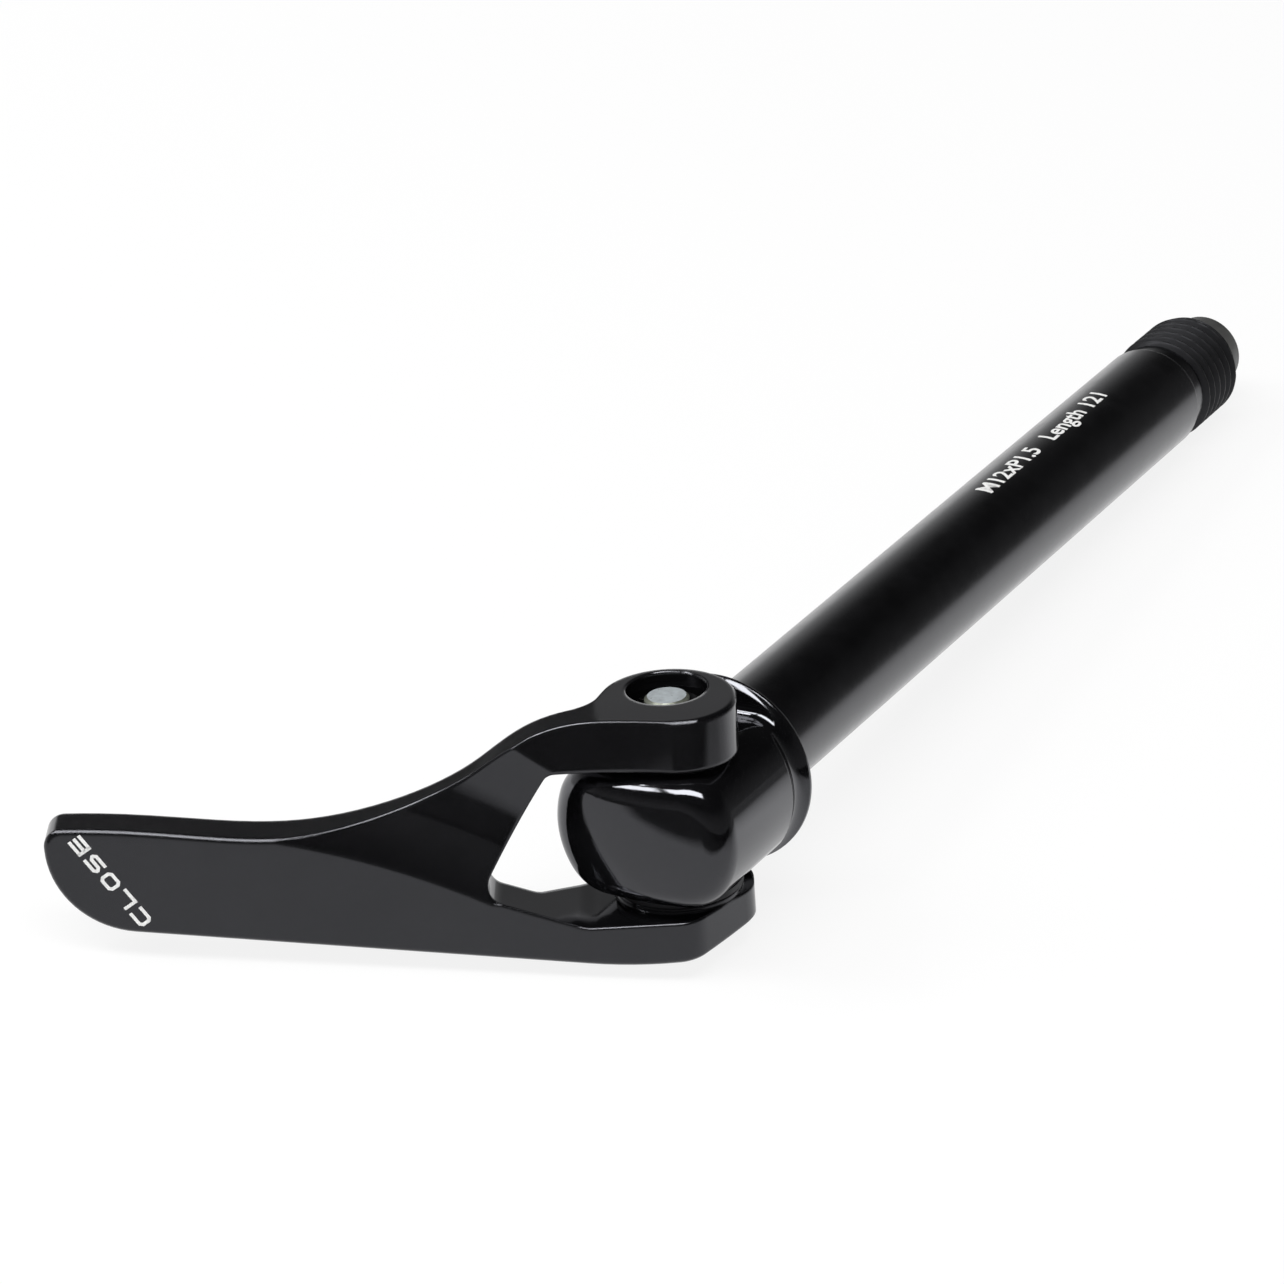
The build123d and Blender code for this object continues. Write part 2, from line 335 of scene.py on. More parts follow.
@dataclass(frozen=True)
class ZincPlate:
    """Dull zinc plate on turned steel, mottled, with a yellow-green chromate tint on its slopes that
    is darkened there as painted shade.

    Attributes:
        name: The material's name.
        bright: The colour of clean plate.
        dull: The colour of the mottling.
        chromate_and_shade: The colour of the sloping faces: a yellow-green chromate tint, darkened
            as painted shade.
        metallic: The metal share of the plate, the rest being its matte bloom.
        chromate_and_shade_share: How much of that tint and painted shade there is on a steep face.
        chromate_and_shade_slopes: How far a face leans to the pin's axis where the tint and painted
            shade are full, and where they end.
        roughness: The roughness where it is smoothest and roughest.
        mottle: The size of the mottling, in metres.
        haze: The size of the roughness's blotches, in metres.
        grain: The size of the fine bumps, in metres.
        depth: The depth of the fine bumps, in metres.
        bumps: The strength of the fine bumps.
        edge: The radius that the eye sees on sharp edges, in metres.
    """

    name: str
    bright: tuple[float, float, float] = (0.66, 0.72, 0.75)
    dull: tuple[float, float, float] = (0.46, 0.50, 0.52)
    chromate_and_shade: tuple[float, float, float] = (0.10, 0.10, 0.05)
    metallic: float = 0.5
    chromate_and_shade_share: float = 0.8
    chromate_and_shade_slopes: tuple[float, float] = (0.75, 0.97)
    roughness: tuple[float, float] = (0.26, 0.46)
    mottle: float = 0.9 * MM
    haze: float = 0.5 * MM
    grain: float = 0.25 * MM
    depth: float = 0.01 * MM
    bumps: float = 0.5
    edge: float = 0.06 * MM

    def material(self) -> bpy.types.Material:
        """Makes the plate's material.

        Returns:
            The material, mottled and tinted.
        """
        bench = Bench(self.name)
        normal = bench.rounded(self.edge)
        cloud = bench.spread(bench.noise(self.mottle, detail=6), 0, 1)
        mottle = bench.tint(cloud, self.bright, self.dull)
        # Yellow-green chromate tint on faces leaning from the pin's axis, darkened far below the
        # plate as painted shade.
        axis = bench.add("ShaderNodeVectorMath", operation="DOT_PRODUCT")
        bench.join(bench.add("ShaderNodeNewGeometry").outputs["Normal"], axis.inputs[0])
        axis.inputs[1].default_value = LIE_ROLL @ Vector((0, 0, 1))
        chromate_and_shade = bench.spread(axis.outputs["Value"], self.chromate_and_shade_share, 0.0, *self.chromate_and_shade_slopes)
        slope = bench.add("ShaderNodeMix", data_type="RGBA")
        bench.join(chromate_and_shade, slope.inputs["Factor"])
        bench.join(mottle, slope.inputs["A"])
        slope.inputs["B"].default_value = (*self.chromate_and_shade, 1)
        bench.join(slope.outputs["Result"], bench.shader.inputs["Base Color"])
        bench.shader.inputs["Metallic"].default_value = self.metallic
        haze = bench.spread(bench.noise(self.haze, detail=5), *self.roughness)
        bench.join(haze, bench.shader.inputs["Roughness"])
        bench.bump(bench.noise(self.grain, detail=4), self.depth, self.bumps, normal)
        return bench.material


@dataclass(frozen=True)
class PrintInk:
    """White pad-printed ink, thin in patches.

    Attributes:
        name: The material's name.
        full: The colour of a full print.
        thin: The colour where the print is thin.
        patch: The size of a thin patch, in metres.
        patch_span: The noise values between which the print goes from full to thin.
        roughness: The roughness where it is smoothest and roughest.
        haze: The size of the roughness's blotches, in metres.
        grain: The size of the fine bumps, in metres.
        depth: The depth of the fine bumps, in metres.
        bumps: The strength of the fine bumps.
    """

    name: str
    full: tuple[float, float, float] = (0.86, 0.86, 0.85)
    thin: tuple[float, float, float] = (0.70, 0.70, 0.69)
    patch: float = 0.4 * MM
    patch_span: tuple[float, float] = (0.45, 0.75)
    roughness: tuple[float, float] = (0.4, 0.6)
    haze: float = 0.8 * MM
    grain: float = 0.1 * MM
    depth: float = 0.004 * MM
    bumps: float = 0.4

    def material(self) -> bpy.types.Material:
        """Makes the ink's material.

        Returns:
            The material, faintly uneven.
        """
        bench = Bench(self.name)
        wear = bench.spread(bench.noise(self.patch, detail=4), 0, 1, *self.patch_span)
        bench.join(bench.tint(wear, self.full, self.thin), bench.shader.inputs["Base Color"])
        haze = bench.spread(bench.noise(self.haze), *self.roughness)
        bench.join(haze, bench.shader.inputs["Roughness"])
        normal = bench.add("ShaderNodeNewGeometry").outputs["Normal"]
        bench.bump(bench.noise(self.grain), self.depth, self.bumps, normal)
        return bench.material


GLOSS = BlackFinish(
    name="gloss_black_forging",
    deep=(0.0030, 0.0030, 0.0034),
    pale=(0.0050, 0.0050, 0.0056),
    worn=(0.012, 0.012, 0.013),
    smooth=0.06,
    rough=0.12,
    grain=0.5 * MM,
    depth=0.0012 * MM,
    edge=0.5 * MM,
    gloss=1.0,
)
TURNED = BlackFinish(
    name="gloss_black_turned_head",
    deep=(0.0030, 0.0030, 0.0034),
    pale=(0.0050, 0.0050, 0.0056),
    worn=(0.012, 0.012, 0.013),
    smooth=0.05,
    rough=0.11,
    grain=0.4 * MM,
    depth=0.0010 * MM,
    edge=0.22 * MM,
    gloss=1.0,
    index=1.58,
)
ANODISED = BlackFinish(
    name="satin_black_anodised_shaft",
    deep=(0.0020, 0.0020, 0.0022),
    pale=(0.0035, 0.0035, 0.0039),
    worn=(0.02, 0.02, 0.021),
    smooth=0.17,
    rough=0.23,
    grain=0.6 * MM,
    depth=0.0008 * MM,
    edge=0.12 * MM,
    gloss=1.0,
    lines=(6.0, 1.0, 1.0),
)
THREADED = BlackFinish(
    name="matte_black_thread",
    deep=(0.0025, 0.0025, 0.0027),
    pale=(0.005, 0.005, 0.0053),
    worn=(0.010, 0.010, 0.010),
    smooth=0.45,
    rough=0.6,
    grain=0.12 * MM,
    depth=0.004 * MM,
    edge=0.05 * MM,
    gloss=0.4,
)
BLASTED = BlackFinish(
    name="blasted_black_plug",
    deep=(0.03, 0.03, 0.029),
    pale=(0.095, 0.095, 0.09),
    worn=(0.24, 0.24, 0.22),
    smooth=0.36,
    rough=0.55,
    grain=0.22 * MM,
    depth=0.03 * MM,
    edge=0.2 * MM,
    gloss=0.8,
)
OXIDE = BlackFinish(
    name="black_oxide_spring_steel",
    deep=(0.03, 0.03, 0.03),
    pale=(0.07, 0.068, 0.065),
    worn=(0.2, 0.2, 0.2),
    smooth=0.28,
    rough=0.42,
    grain=0.2 * MM,
    depth=0.004 * MM,
    edge=0.06 * MM,
    metallic=1.0,
)
MOULDED = BlackFinish(
    name="matte_black_bearing_plastic",
    deep=(0.010, 0.010, 0.010),
    pale=(0.018, 0.018, 0.018),
    worn=(0.03, 0.03, 0.03),
    smooth=0.42,
    rough=0.58,
    grain=0.15 * MM,
    depth=0.005 * MM,
    edge=0.08 * MM,
)
ZINC = ZincPlate("zinc_plated_steel")
INK = PrintInk("white_print")


class Piece:
    """Ways that every sub-assembly shares to make a mesh and dress it."""

    @staticmethod
    def mesh(name: str, points: list[Vector], faces: list[tuple[int, ...]]) -> bpy.types.Object:
        """Makes a mesh object.

        Args:
            name: The piece's name.
            points: Its points, in metres.
            faces: The point numbers of each face.

        Returns:
            The new object, in the scene.
        """
        data = bpy.data.meshes.new(name)
        data.from_pydata(points, [], faces)
        data.update()
        piece = bpy.data.objects.new(name, data)
        bpy.context.scene.collection.objects.link(piece)
        return piece

    @staticmethod
    def dress(piece: bpy.types.Object, material: bpy.types.Material) -> None:
        """Gives a piece or a CAD node its one material.

        Args:
            piece: The object.
            material: Its finish.
        """
        if not piece.material_slots:
            piece.data.materials.append(material)
        for slot in piece.material_slots:
            slot.material = material

    @staticmethod
    def crease(piece: bpy.types.Object, angle: float) -> None:
        """Shades a piece smooth, but for its sharp edges.

        Args:
            piece: The object.
            angle: The least angle of a sharp edge, in radians.
        """
        work = bmesh.new()
        work.from_mesh(piece.data)
        for face in work.faces:
            face.smooth = True
        for edge in work.edges:
            edge.smooth = len(edge.link_faces) == 2 and edge.calc_face_angle() < angle
        work.to_mesh(piece.data)
        work.free()

    @staticmethod
    def note(piece: bpy.types.Object) -> None:
        """Reports a finished piece.

        Args:
            piece: The object.
        """
        LOG.info("%s: %d faces", piece.name, len(piece.data.polygons))


@dataclass
class Lettering(Piece):
    """Print in two hands: square bold strokes, and a plain sans line.

    Attributes:
        glyph_width: The width of a square letter, in cap heights.
        glyph_gap: The gap between square letters, in cap heights.
        stroke: The stroke of a square letter, in cap heights.
        corner: The cut at a square letter's corners, in cap heights.
        bend_cuts: The cuts up a plain capital, so that its line can bend.
        drop_cuts: The cuts down a plain letter's tail.
    """

    glyph_width: float = 1.22
    glyph_gap: float = 0.34
    stroke: float = 0.23
    corner: float = 0.16
    bend_cuts: int = 7
    drop_cuts: int = 2

    def strokes(self, letter: str) -> list[tuple[list[tuple[float, float]], bool]]:
        """Gives the middle lines of a square letter.

        Args:
            letter: The letter.

        Returns:
            Each line's points, in cap heights, and whether it is closed.
        """
        half = self.stroke / 2
        wide = self.glyph_width
        cut = self.corner
        left, right, low, high, middle = half, wide - half, half, 1 - half, 0.5
        shoulder = [(left + cut, high), (left, high - cut)]
        bowl = [*shoulder, (left, low + cut), (left + cut, low)]
        match letter:
            case "C":
                return [([(wide, high), *bowl, (wide, low)], False)]
            case "L":
                return [([(left, 1), (left, low), (wide, low)], False)]
            case "O":
                rise = [(right - cut, low), (right, low + cut)]
                return [([*bowl, *rise, (right, high - cut), (right - cut, high)], True)]
            case "S":
                top = [(wide, high), *shoulder, (left, middle + cut), (left + cut, middle)]
                turn = [(right - cut, middle), (right, middle - cut)]
                foot = [(right, low + cut), (right - cut, low), (0, low)]
                return [([*top, *turn, *foot], False)]
            case _:
                bars = [([(left, height), (wide, height)], False) for height in (high, middle, low)]
                return [([(left, 1), (left, 0)], False), *bars]

    def ribbon(self, line: list[tuple[float, float]], closed: bool) -> list[tuple[Vector, Vector]]:
        """Widens a middle line to a stroke with mitred corners.

        Args:
            line: The line's points.
            closed: Whether its last point runs on to its first.

        Returns:
            The stroke's two sides at each point.
        """
        points = [Vector(point) for point in line]
        sides = []
        for index, point in enumerate(points):
            runs = []
            if index or closed:
                runs.append((point - points[index - 1]).normalized())
            if index < len(points) - 1 or closed:
                runs.append((points[(index + 1) % len(points)] - point).normalized())
            normals = [Vector((-run.y, run.x)) for run in runs]
            across = sum(normals, Vector((0, 0))).normalized()
            across *= self.stroke / 2 / across.dot(normals[0])
            sides.append((point + across, point - across))
        return sides

    def square_word(self, name: str, word: str, place: Matrix) -> bpy.types.Object:
        """Prints a word in square bold letters.

        Args:
            name: The piece's name.
            word: The word.
            place: Takes cap heights to metres, with the print's base line along X.

        Returns:
            The print, a thin mesh.
        """
        points: list[Vector] = []
        faces: list[tuple[int, ...]] = []
        for number, letter in enumerate(word):
            start = number * (self.glyph_width + self.glyph_gap)
            for line, closed in self.strokes(letter):
                sides = self.ribbon(line, closed)
                first = len(points)
                for side in (side for pair in sides for side in pair):
                    points.append(place @ Vector((start + side.x, side.y, 0)))
                runs = len(sides) if closed else len(sides) - 1
                for run in range(runs):
                    here = first + 2 * run
                    there = first + 2 * ((run + 1) % len(sides))
                    faces.append((here, here + 1, there + 1, there))
        return self.mesh(name, points, faces)

    def plain_line(self, name: str, words: str, cap: float, bold: float) -> bpy.types.Object:
        """Sets a line in plain sans letters, flat, with its base line along X.

        Args:
            name: The piece's name.
            words: The line.
            cap: The height of a capital, in metres.
            bold: How much the strokes are thickened, in cap heights.

        Returns:
            The line, a flat mesh cut fine enough to bend.
        """
        curve = bpy.data.curves.new(name, "FONT")
        curve.body = words
        curve.offset = bold
        source = bpy.data.objects.new(name, curve)
        bpy.context.scene.collection.objects.link(source)
        sheet = bpy.context.evaluated_depsgraph_get()
        data = bpy.data.meshes.new_from_object(source.evaluated_get(sheet))
        bpy.data.objects.remove(source)
        piece = bpy.data.objects.new(name, data)
        bpy.context.scene.collection.objects.link(piece)
        work = bmesh.new()
        work.from_mesh(data)
        tall = max(point.co.y for point in work.verts)
        bmesh.ops.scale(work, vec=Vector((cap / tall, cap / tall, 1)), verts=work.verts)
        upright = Vector((0, 1, 0))
        for step in range(-self.drop_cuts, self.bend_cuts + 1):
            height = upright * (step * cap / self.bend_cuts)
            everything = work.verts[:] + work.edges[:] + work.faces[:]
            bmesh.ops.bisect_plane(work, geom=everything, plane_co=height, plane_no=upright)
        work.to_mesh(data)
        work.free()
        return piece


@dataclass
class AxleShaft(Piece):
    """The tube with its threaded end, its pressed-in plug and its size marks.

    Attributes:
        radius: The shaft's radius, also the thread's crest.
        thread_start: Where the thread leaves its relief.
        thread_end: Where the thread ends.
        pitch: The thread's pitch.
        depth: The thread's depth.
        crest: The half width of the thread's flat crest, in half pitches.
        flank: The width of the thread's flank, in half pitches.
        core: The radius that the thread is wrapped round.
        overlap: How far the thread's ends go into the core.
        relief: The radius of the relief before the thread.
        end_chamfer: The chamfer at the thread's end.
        turns: The points round one turn of the thread.
        step: The thread's mesh step along the shaft.
        slack: How near a mesh point counts as on a face.
        weld: How near mesh points are joined.
        shaft_crease: The least angle of the tube's sharp edges, in degrees.
        thread_crease: The least angle of the thread's sharp edges, in degrees.
        marks_start: Where the size marks start along the shaft.
        marks_angle: Where the size marks stand round the shaft, from +Z towards +Y, in degrees.
        marks_cap: The marks' cap height.
        marks_stretch: How much wider the marks are set than the plain hand.
        marks_bold: How much the marks' strokes are thickened, in cap heights.
        marks_lift: The ink's thickness.
    """

    radius: float = 6.0 * MM
    thread_start: float = 107.1 * MM
    thread_end: float = 117.0 * MM
    pitch: float = 1.5 * MM
    depth: float = 0.92 * MM
    crest: float = 0.13
    flank: float = 0.65
    core: float = 4.95 * MM
    overlap: float = 0.05 * MM
    relief: float = 5.5 * MM
    end_chamfer: float = 1.0 * MM
    turns: int = 192
    step: float = 0.075 * MM
    slack: float = 0.01 * MM
    weld: float = 0.001 * MM
    shaft_crease: float = 25.0
    thread_crease: float = 50.0
    marks_start: float = 59.9 * MM
    marks_angle: float = -3.0
    marks_cap: float = 2.0 * MM
    marks_stretch: float = 1.18
    marks_bold: float = 0.02
    marks_lift: float = 0.012 * MM

    def build(self, lettering: Lettering) -> None:
        """Builds and dresses the shaft, the thread, the plug and the marks.

        Args:
            lettering: Prints the marks.
        """
        shaft = self.build_core()
        self.dress(shaft, ANODISED.material())
        thread = self.build_thread()
        self.dress(thread, THREADED.material())
        marks = self.print_marks(lettering)
        self.dress(marks, INK.material())
        for piece in (shaft, thread, marks):
            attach(piece, Body.SHAFT.value)
            self.note(piece)
        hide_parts("axle_shaft")
        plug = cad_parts["end_plug"]
        self.dress(plug, BLASTED.material())
        self.note(plug)

    def build_core(self) -> bpy.types.Object:
        """Copies the solid's mesh and turns its threaded end down to the core.

        Returns:
            The shaft without its thread.
        """
        work = bmesh.new()
        work.from_mesh(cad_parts["axle_shaft"].data)
        bmesh.ops.remove_doubles(work, verts=work.verts, dist=self.weld)
        for point in work.verts:
            reach = hypot(point.co.y, point.co.z)
            past_start = point.co.x - self.thread_start
            on_floor = past_start < self.slack and reach < self.relief + self.slack
            if past_start > -self.slack and reach > self.core and not on_floor:
                point.co.y *= self.core / reach
                point.co.z *= self.core / reach
        data = bpy.data.meshes.new("shaft_tube")
        work.to_mesh(data)
        work.free()
        shaft = bpy.data.objects.new("shaft_tube", data)
        bpy.context.scene.collection.objects.link(shaft)
        self.crease(shaft, radians(self.shaft_crease))
        return shaft

    def thread_radius(self, along: float, turn: float) -> float:
        """Gives the thread's radius at a point.

        Args:
            along: The place along the shaft.
            turn: The angle round the shaft.

        Returns:
            The radius there.
        """
        phase = (along / self.pitch - turn / tau) % 1.0
        off_crest = abs(2 * phase - 1)
        slope = min(max((off_crest - self.crest) / self.flank, 0.0), 1.0)
        limit = min(
            self.radius,
            self.radius - self.end_chamfer + (self.thread_end - along),
            self.relief + (along - self.thread_start),
        )
        return min(self.radius - self.depth * slope, limit)

    def build_thread(self) -> bpy.types.Object:
        """Builds the right-hand thread as a sleeve round the core.

        Returns:
            The thread.
        """
        stations = round((self.thread_end - self.thread_start) / self.step)
        points: list[Vector] = []
        for station in range(-1, stations + 2):
            along = self.thread_start + min(max(station, 0), stations) * self.step
            closing = station < 0 or station > stations
            for index in range(self.turns):
                turn = tau * index / self.turns
                reach = self.core - self.overlap if closing else self.thread_radius(along, turn)
                points.append(Vector((along, reach * cos(turn), reach * sin(turn))))
        rows = len(points) // self.turns
        faces = []
        for row in range(rows):
            for index in range(self.turns):
                beside = (index + 1) % self.turns
                here, there = row * self.turns, ((row + 1) % rows) * self.turns
                faces.append((here + index, there + index, there + beside, here + beside))
        thread = self.mesh("thread", points, faces)
        self.crease(thread, radians(self.thread_crease))
        return thread

    def print_marks(self, lettering: Lettering) -> bpy.types.Object:
        """Prints the thread size and the length along the shaft.

        Args:
            lettering: Prints the line.

        Returns:
            The marks, bent round the shaft.
        """
        words = Mark.SIZES.value
        marks = lettering.plain_line("size_marks", words, self.marks_cap, self.marks_bold)
        reach = self.radius + self.marks_lift
        for point in marks.data.vertices:
            along = self.marks_start + point.co.x * self.marks_stretch
            turn = radians(self.marks_angle) + (point.co.y - self.marks_cap / 2) / self.radius
            point.co = LIE_ROLL @ Vector((along, reach * sin(turn), reach * cos(turn)))
        marks.data.update()
        return marks


class Head(Piece):
    """The turned head with its two thrust washers."""

    def build(self) -> None:
        """Dresses the head and the washers."""
        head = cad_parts["head"]
        self.dress(head, TURNED.material())
        self.note(head)
        plastic = MOULDED.material()
        for name in ("upper_thrust_washer", "lower_thrust_washer"):
            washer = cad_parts[name]
            self.dress(washer, plastic)
            self.note(washer)


@dataclass
class Lever(Piece):
    """The forked lever with its cam pin, the pin's ring, and the closing word.

    Attributes:
        pin_setback: How far the cam axis is behind the seat.
        angle: The lever's angle from the shaft, in degrees.
        front: How far the flat front is from the cam axis.
        word_start: The word's base line start, along the lever and up.
        word_end: The word's base line end, along the lever and up.
        word_lift: The ink's thickness.
    """

    pin_setback: float = 10.05 * MM
    angle: float = 118.0
    front: float = 8.2 * MM
    word_start: tuple[float, float] = (50.5 * MM, -5.0 * MM)
    word_end: tuple[float, float] = (56.6 * MM, 4.45 * MM)
    word_lift: float = 0.012 * MM

    def build(self, lettering: Lettering) -> None:
        """Dresses the lever, the pin and the ring, and prints the word.

        Args:
            lettering: Prints the word.
        """
        for name, finish in (("lever", GLOSS), ("cam_shaft", ZINC), ("retaining_ring", OXIDE)):
            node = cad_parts[name]
            self.dress(node, finish.material())
            self.note(node)
        word = self.print_word(lettering)
        self.dress(word, INK.material())
        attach(word, Body.LEVER.value)
        self.note(word)

    def print_word(self, lettering: Lettering) -> bpy.types.Object:
        """Prints the closing word across the flat front's tip.

        Args:
            lettering: Prints the word.

        Returns:
            The word.
        """
        swing = radians(self.angle)
        along = Vector((cos(swing), sin(swing), 0))
        out = Vector((-sin(swing), cos(swing), 0))
        up = Vector((0, 0, 1))
        base = Vector((-self.pin_setback, 0, 0)) + out * (self.front + self.word_lift)
        corners = (self.word_start, self.word_end)
        start, end = (base + along * reach + up * height for reach, height in corners)
        letters = len(Mark.CLOSING.value)
        width = letters * lettering.glyph_width + (letters - 1) * lettering.glyph_gap
        run = (end - start) / width
        rise = out.cross(run)
        place = Matrix.Identity(4)
        for row in range(3):
            place[row] = (run[row], rise[row], out[row], start[row])
        return lettering.square_word("closing_word", Mark.CLOSING.value, LIE_ROLL @ place)


@dataclass(frozen=True)
class Softbox:
    """A flat soft lamp.

    Attributes:
        name: The lamp's name.
        place: Where it hangs, in metres.
        run: The direction of its long side.
        wide: Its long side, in metres.
        deep: Its short side, in metres.
        watts: Its power.
    """

    name: str
    place: tuple[float, float, float]
    run: tuple[float, float, float]
    wide: float
    deep: float
    watts: float

    def hang(self) -> None:
        """Hangs the lamp over the part, facing it."""
        lamp = bpy.data.lights.new(self.name, "AREA")
        lamp.shape = "RECTANGLE"
        lamp.size = self.wide
        lamp.size_y = self.deep
        lamp.energy = self.watts
        light = bpy.data.objects.new(self.name, lamp)
        back = Vector(self.place).normalized()
        side = (Vector(self.run) - back * back.dot(Vector(self.run))).normalized()
        stand = Matrix.Translation(Vector(self.place))
        for row in range(3):
            stand[row][:3] = (side[row], back.cross(side)[row], back[row])
        light.matrix_world = stand
        bpy.context.scene.collection.objects.link(light)


@dataclass
class Studio(Piece):
    """The white floor, the light and the camera.

    Attributes:
        floor_reach: Half the floor's side.
        camera_place: Where the camera stands, with the cam axis upright.
        camera_right: The camera's right, with the cam axis upright.
        camera_down: The camera's down, with the cam axis upright.
        lens: The focal length on the sensor's width.
        sensor: The sensor's width.
        near_clip: The nearest that the camera sees.
        tip_contact: Where the shaft's tip touches the floor, along and up.
        floor_glow: How much of the floor's white is its own.
        floor_dip: Where the floor's level changes in reflections, towards the camera.
        floor_fade: Where the floor ends in reflections, towards the camera.
        floor_fade_level: What is left of the floor's level past there.
        floor_side: The level direction in which the floor darkens beside the shaft.
        floor_side_fade: Where the floor darkens in reflections, in that direction.
        floor_side_level: What is left of the floor's level past there.
        mirrored_floor: The floor's levels in reflections, behind the dip and before it.
        paper: The greys of the floor's paper.
        paper_cloud: The size of the paper's clouds.
        room_fill: The room's level behind the part and on the camera's side.
        room_fill_leans: The leans to the camera's side between which that level changes.
        room_mirrored: The room's level in reflections, at the horizon and high up.
        room_heights: The leans to upright between which that level changes.
        room_bright_side: The level direction of the room's bright side in reflections.
        room_bright_shares: The share of the level away from that side and on it.
        room_bright_leans: The leans to that side between which the share changes.
        card_place: The middle of the dark card behind the blade.
        card_run: The direction of the card's width, of length 1.
        card_size: The card's width and height.
        card_grey: The card's grey.
        softboxes: The lamps.
    """

    floor_reach: float = 6.0
    camera_place: tuple[float, float, float] = (-0.42738141, -0.23899742, 0.22610503)
    camera_right: tuple[float, float, float] = (0.47459962, -0.87774679, -0.06569463)
    camera_down: tuple[float, float, float] = (-0.37935842, -0.13662914, -0.91510637)
    lens: float = 153.832
    sensor: float = 36.0
    near_clip: float = 0.01
    tip_contact: tuple[float, float] = (0.116, -0.006)
    floor_glow: float = 0.86
    floor_dip: tuple[float, float] = (-0.01, 0.025)
    floor_fade: tuple[float, float] = (0.058, 0.074)
    floor_fade_level: float = 0.08
    floor_side: tuple[float, float, float] = (0.25, -0.97, 0.0)
    floor_side_fade: tuple[float, float] = (0.045, 0.16)
    floor_side_level: float = 0.15
    mirrored_floor: tuple[float, float] = (1.0, 0.54)
    paper: tuple[float, float] = (0.88, 0.92)
    paper_cloud: float = 0.4
    room_fill: tuple[float, float] = (0.1, 0.41)
    room_fill_leans: tuple[float, float] = (-0.2, 0.6)
    room_mirrored: tuple[float, float] = (0.62, 0.015)
    room_heights: tuple[float, float] = (0.05, 0.5)
    room_bright_side: tuple[float, float, float] = (0.6, 0.8, 0.0)
    room_bright_shares: tuple[float, float] = (0.16, 1.0)
    room_bright_leans: tuple[float, float] = (0.1, 0.9)
    card_place: tuple[float, float, float] = (0.09, 0.142, 0.065)
    card_run: tuple[float, float, float] = (-0.53, 0.848, 0.0)
    card_size: tuple[float, float] = (0.1, 0.15)
    card_grey: float = 0.06
    softboxes: tuple[Softbox, ...] = (
        Softbox("long_softbox", (-0.36, -0.01, 0.9), (-0.469, 0.883, 0.0), 0.9, 0.28, 7.5),
        Softbox("edge_softbox", (-0.47, 0.61, 0.63), (0.023, 0.341, -0.252), 0.45, 0.22, 2.8),
        Softbox("small_softbox", (-0.2, 0.62, 0.77), (1.0, 0.3, 0.0), 0.24, 0.16, 1.4),
    )

    def build(self) -> None:
        """Builds the studio round the part."""
        self.build_floor()
        self.build_card()
        self.build_world()
        self.build_lights()
        self.build_camera()
        bpy.context.scene.view_settings.view_transform = "Standard"

    def build_floor(self) -> None:
        """Lays the floor under the lever's low edge and the shaft's tip."""
        lever_points = [point.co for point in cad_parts["lever"].data.vertices]
        lowest = min(lever_points, key=lambda place: place.z)
        tip = Vector((self.tip_contact[0], 0, self.tip_contact[1]))
        pitch = -atan2(tip.z - lowest.z, tip.x - lowest.x)
        sheet = Matrix.Translation(lowest) @ Matrix.Rotation(pitch, 4, "Y")
        reach = self.floor_reach
        corners = [sheet @ Vector((x * reach, y * reach, 0)) for x, y in SQUARE]
        floor = self.mesh("floor", corners, [(0, 1, 2, 3)])
        self.dress(floor, self.floor_paper())

    def build_card(self) -> None:
        """Stands a dark card behind the blade, seen only in what the lever's top reflects."""
        wide, tall = self.card_size
        middle = Vector(self.card_place)
        side = Vector(self.card_run) * wide / 2
        rise = Vector((0, 0, tall / 2))
        corners = [middle + x * side + y * rise for x, y in SQUARE]
        card = self.mesh("dark_card", corners, [(0, 1, 2, 3)])
        bench = Bench("dark_card")
        grey = self.card_grey
        bench.shader.inputs["Base Color"].default_value = (grey, grey, grey, 1)
        bench.shader.inputs["Roughness"].default_value = 1.0
        self.dress(card, bench.material)
        card.visible_camera = False
        card.visible_diffuse = False
        card.visible_shadow = False

    def towards_camera(self) -> Vector:
        """Gives the level direction from the part to the camera.

        Returns:
            The direction, of length 1.
        """
        back = Vector(self.camera_right).cross(-Vector(self.camera_down))
        level = LIE_ROLL @ back
        level.z = 0
        return level.normalized()

    def floor_paper(self) -> bpy.types.Material:
        """Makes the floor's white paper, which shows white and keeps a soft shadow.

        Returns:
            The paper's material.
        """
        bench = Bench("white_paper")
        shade = bench.add("ShaderNodeBsdfDiffuse")
        clouds = bench.spread(bench.noise(self.paper_cloud), 0, 1)
        dark, light = ((grey, grey, grey) for grey in self.paper)
        bench.join(bench.tint(clouds, dark, light), shade.inputs["Color"])
        ahead = bench.reach(self.towards_camera())
        beside = bench.reach(Vector(self.floor_side))
        near = bench.spread(ahead, *self.mirrored_floor, *self.floor_dip)
        fade = bench.spread(ahead, 1.0, self.floor_fade_level, *self.floor_fade)
        aside = bench.spread(beside, 1.0, self.floor_side_level, *self.floor_side_fade)
        mirrored = bench.math("MULTIPLY", bench.math("MULTIPLY", near, fade), aside)
        paths = bench.add("ShaderNodeLightPath").outputs
        level = bench.add("ShaderNodeMix")
        bench.join(paths["Is Camera Ray"], level.inputs["Factor"])
        bench.join(mirrored, level.inputs["A"])
        level.inputs["B"].default_value = 1.0
        glow = bench.add("ShaderNodeEmission")
        bench.join(level.outputs["Result"], glow.inputs["Strength"])
        seen = bench.math("MAXIMUM", paths["Is Camera Ray"], paths["Is Transmission Ray"])
        clear = bench.spread(seen, 0.0, self.floor_glow, 0.0, 1.0)
        mix = bench.add("ShaderNodeMixShader")
